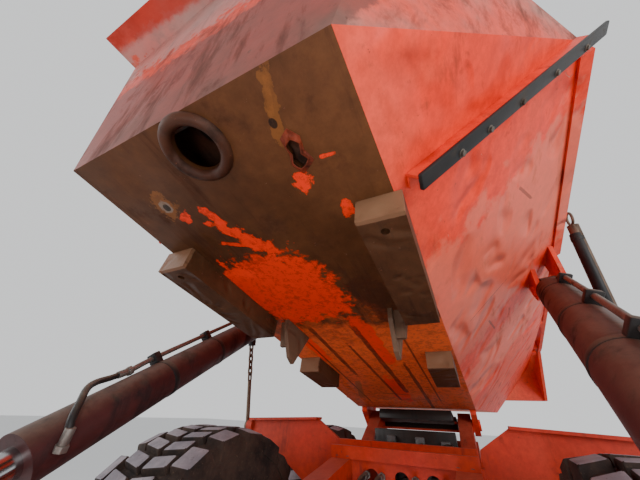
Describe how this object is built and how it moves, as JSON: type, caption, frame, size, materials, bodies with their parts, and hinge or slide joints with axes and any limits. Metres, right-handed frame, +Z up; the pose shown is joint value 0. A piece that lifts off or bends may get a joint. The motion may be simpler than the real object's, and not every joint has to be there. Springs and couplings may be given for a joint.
{
  "type": "articulated dump truck",
  "caption": "Six-wheeled articulated dump truck, hinged behind the cab, with a raised dump body, tailgate chains, hoist cylinders and free-rolling wheels.",
  "frame": {"origin": "on the ground, at the centre of the bounding box", "axes": "+X forward, +Y to the left of the truck, +Z up"},
  "size_m": [10.251, 2.9878, 4.0709],
  "materials": {
    "orange": "orange-red machine paint, weathered",
    "frame_dark": "dark frame paint",
    "deck_dark": "dark grey paint",
    "axle_grey": "grey painted casting",
    "engine_grey": "plain block",
    "glass": "clear",
    "seat": "dark woven cloth",
    "plastic": "moulded",
    "floor_brown": "dirt and rust over orange paint",
    "pad_rubber": "dirty wear pads",
    "rusty_steel": "rusty",
    "maroon": "dark maroon paint",
    "chrome_rod": "polished",
    "chain_steel": "dirty steel",
    "tyre": "dusty black rubber"
  },
  "bodies": {
    "front_unit": {"front_frame": "frame_dark", "front_axle": "axle_grey", "engine_block": "engine_grey", "bumper": "frame_dark", "front_decks": "deck_dark", "steps_and_tanks": "deck_dark", "cab_shell": "orange", "cab_roof": "orange", "cab_glass": "glass", "cab_seat": "seat", "cab_console": "plastic", "mirrors": "plastic"},
    "hood": {"hood": "orange", "grille": "deck_dark"},
    "cab_door": {"cab_door": "orange", "door_glass": "glass"},
    "hitch": {"hitch": "axle_grey"},
    "steer_barrel_left": {"steer_barrel_left": "frame_dark"},
    "steer_barrel_right": {"steer_barrel_right": "frame_dark"},
    "steer_rod_left": {"steer_rod_left": "chrome_rod"},
    "steer_rod_right": {"steer_rod_right": "chrome_rod"},
    "rear_unit": {"rear_frame": "orange", "hoist_feet": "orange", "cross_beam": "orange", "outriggers": "orange", "bogie_beams": "orange", "bogie_axles": "axle_grey"},
    "dump_body": {"body_floor": "floor_brown", "body_pads": "pad_rubber", "exhaust_port": "rusty_steel", "body_front": "orange", "body_side_left": "orange", "body_side_right": "orange", "body_frame": "orange"},
    "hoist_barrel_left": {"hoist_barrel_left": "maroon"},
    "hoist_barrel_right": {"hoist_barrel_right": "maroon"},
    "hoist_rod_left": {"hoist_rod_left": "chrome_rod"},
    "hoist_rod_right": {"hoist_rod_right": "chrome_rod"},
    "tailgate": {"tailgate": "orange"},
    "chains": {"chains": "chain_steel"},
    "wheel_front_left": {"tyre_front_left": "tyre", "rim_front_left": "orange"},
    "wheel_front_right": {"tyre_front_right": "tyre", "rim_front_right": "orange"},
    "wheel_mid_left": {"tyre_mid_left": "tyre", "rim_mid_left": "orange"},
    "wheel_mid_right": {"tyre_mid_right": "tyre", "rim_mid_right": "orange"},
    "wheel_rear_left": {"tyre_rear_left": "tyre", "rim_rear_left": "orange"},
    "wheel_rear_right": {"tyre_rear_right": "tyre", "rim_rear_right": "orange"}
  },
  "joints": [
    {"name": "steer", "type": "hinge", "parent": "front_unit", "child": "hitch", "pos_m": [1.06154, 0, 1], "axis": [0, 0, 1], "range_deg": [-45, 45]},
    {"name": "frame_roll", "type": "hinge", "parent": "hitch", "child": "rear_unit", "pos_m": [0.63154, 0, 1], "axis": [1, 0, 0], "range_deg": [-12, 12]},
    {"name": "front_wheel_left", "type": "hinge", "parent": "front_unit", "child": "wheel_front_left", "pos_m": [2.36154, 1.129, 0.8], "axis": [0, 1, 0], "continuous": true},
    {"name": "front_wheel_right", "type": "hinge", "parent": "front_unit", "child": "wheel_front_right", "pos_m": [2.36154, -1.129, 0.8], "axis": [0, 1, 0], "continuous": true},
    {"name": "mid_wheel_left", "type": "hinge", "parent": "rear_unit", "child": "wheel_mid_left", "pos_m": [-1.80546, 1.129, 0.8], "axis": [0, 1, 0], "continuous": true},
    {"name": "mid_wheel_right", "type": "hinge", "parent": "rear_unit", "child": "wheel_mid_right", "pos_m": [-1.80546, -1.129, 0.8], "axis": [0, 1, 0], "continuous": true},
    {"name": "rear_wheel_left", "type": "hinge", "parent": "rear_unit", "child": "wheel_rear_left", "pos_m": [-3.47546, 1.129, 0.8], "axis": [0, 1, 0], "continuous": true},
    {"name": "rear_wheel_right", "type": "hinge", "parent": "rear_unit", "child": "wheel_rear_right", "pos_m": [-3.47546, -1.129, 0.8], "axis": [0, 1, 0], "continuous": true},
    {"name": "dump", "type": "hinge", "parent": "rear_unit", "child": "dump_body", "pos_m": [-3.43546, 0, 1.66], "axis": [0, -1, 0], "range_deg": [-20, 50]},
    {"name": "hoist_pin_left", "type": "hinge", "parent": "dump_body", "child": "hoist_barrel_left", "pos_m": [-2.22073, 1.15, 2.44756], "axis": [0.037, 0.9971, 0.066], "range_deg": [-25, 60]},
    {"name": "hoist_rod_left", "type": "slide", "parent": "hoist_barrel_left", "child": "hoist_rod_left", "axis": [0.8518, -0.1732, -0.4944], "range_m": [-0.5, 1.25]},
    {"name": "hoist_pin_right", "type": "hinge", "parent": "dump_body", "child": "hoist_barrel_right", "pos_m": [-2.22073, -1.15, 2.44756], "axis": [-0.037, 0.9971, -0.066], "range_deg": [-25, 60]},
    {"name": "hoist_rod_right", "type": "slide", "parent": "hoist_barrel_right", "child": "hoist_rod_right", "axis": [0.8518, 0.1732, -0.4944], "range_m": [-0.5, 1.25]},
    {"name": "tailgate", "type": "hinge", "parent": "dump_body", "child": "tailgate", "pos_m": [-4.35423, 0, 2.53107], "axis": [0, 1, 0], "range_deg": [-8.9, 22.2]},
    {"name": "chain_swing", "type": "hinge", "parent": "rear_unit", "child": "chains", "pos_m": [-2.55546, 0, 1.58], "axis": [0, -1, 0], "range_deg": [-15, 37]},
    {"name": "steer_pin_left", "type": "hinge", "parent": "front_unit", "child": "steer_barrel_left", "pos_m": [1.91154, 0.56, 0.966], "axis": [0, 0, 1], "range_deg": [-12, 12]},
    {"name": "steer_rod_left", "type": "slide", "parent": "steer_barrel_left", "child": "steer_rod_left", "axis": [-0.9892, -0.1465, 0], "range_m": [-0.36, 0.36]},
    {"name": "steer_pin_right", "type": "hinge", "parent": "front_unit", "child": "steer_barrel_right", "pos_m": [1.91154, -0.56, 0.966], "axis": [0, 0, 1], "range_deg": [-12, 12]},
    {"name": "steer_rod_right", "type": "slide", "parent": "steer_barrel_right", "child": "steer_rod_right", "axis": [-0.9892, 0.1465, 0], "range_m": [-0.36, 0.36]},
    {"name": "hood", "type": "hinge", "parent": "front_unit", "child": "hood", "pos_m": [4.85554, 0, 1.23], "axis": [0, 1, 0], "range_deg": [0, 60]},
    {"name": "cab_door", "type": "hinge", "parent": "front_unit", "child": "cab_door", "pos_m": [1.37954, 0.806, 2.4], "axis": [0, 0, 1], "range_deg": [0, 80]}
  ],
  "couplings": [
    {"joint": "hoist_pin_left", "follows": "dump", "ratio": 1.0618},
    {"joint": "hoist_rod_left", "follows": "dump", "m_per_rad": 1.3652},
    {"joint": "hoist_pin_right", "follows": "dump", "ratio": 1.0618},
    {"joint": "hoist_rod_right", "follows": "dump", "m_per_rad": 1.3652},
    {"joint": "tailgate", "follows": "dump", "ratio": 0.44},
    {"joint": "chain_swing", "follows": "dump", "ratio": 0.72},
    {"joint": "steer_pin_left", "follows": "steer", "ratio": 0.10926},
    {"joint": "steer_rod_left", "follows": "steer", "m_per_rad": 0.40067},
    {"joint": "steer_pin_right", "follows": "steer", "ratio": 0.10926},
    {"joint": "steer_rod_right", "follows": "steer", "m_per_rad": -0.40067}
  ]
}
